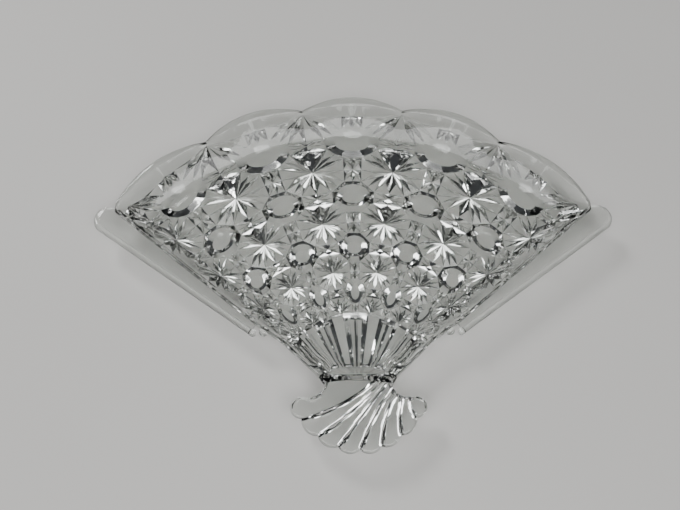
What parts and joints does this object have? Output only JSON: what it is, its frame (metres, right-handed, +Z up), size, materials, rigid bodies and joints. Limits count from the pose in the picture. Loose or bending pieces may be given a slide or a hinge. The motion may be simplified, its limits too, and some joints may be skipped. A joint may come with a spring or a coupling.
{
  "type": "fan-shaped pressed-glass dish",
  "caption": "Shallow fan-shaped dish of clear pressed glass with a button-and-daisy relief underneath, a scalloped back, flat side guards and a shell-shaped tab handle.",
  "frame": {"origin": "middle of the bounding box at its base, level with the button faces that the dish rests on", "axes": "+Z up, +Y from the shell tab to the scalloped back, +X to the right across the fan"},
  "size_m": [0.2358, 0.171, 0.016],
  "materials": {
    "clear_glass": "smooth fire-polished pressed glass",
    "moulded_glass": "faceted moulded pressed glass"
  },
  "bodies": {
    "root": {"button_row_1": "moulded_glass", "button_row_2": "moulded_glass", "button_row_3": "moulded_glass", "button_row_4": "moulded_glass", "daisy_row_1": "moulded_glass", "daisy_row_2": "moulded_glass", "daisy_row_3": "moulded_glass", "daisy_row_4": "moulded_glass", "fan_ribs": "moulded_glass", "fan_sticks": "moulded_glass", "floor_plate": "clear_glass", "front_wall": "clear_glass", "guard_bead_left": "clear_glass", "guard_bead_right": "clear_glass", "guard_blade_left": "clear_glass", "guard_blade_right": "clear_glass", "guard_knob_left": "clear_glass", "guard_knob_right": "clear_glass", "neck_cheek_left": "clear_glass", "neck_cheek_right": "clear_glass", "neck_plate": "clear_glass", "rim_far_left": "clear_glass", "rim_far_right": "clear_glass", "rim_left": "clear_glass", "rim_middle": "clear_glass", "rim_right": "clear_glass", "scallop_far_left": "clear_glass", "scallop_far_right": "clear_glass", "scallop_left": "clear_glass", "scallop_middle": "clear_glass", "scallop_right": "clear_glass", "side_wall_left": "clear_glass", "side_wall_right": "clear_glass", "small_stars": "moulded_glass", "tab_lobes": "moulded_glass", "tab_plate": "clear_glass"}
  },
  "joints": []
}
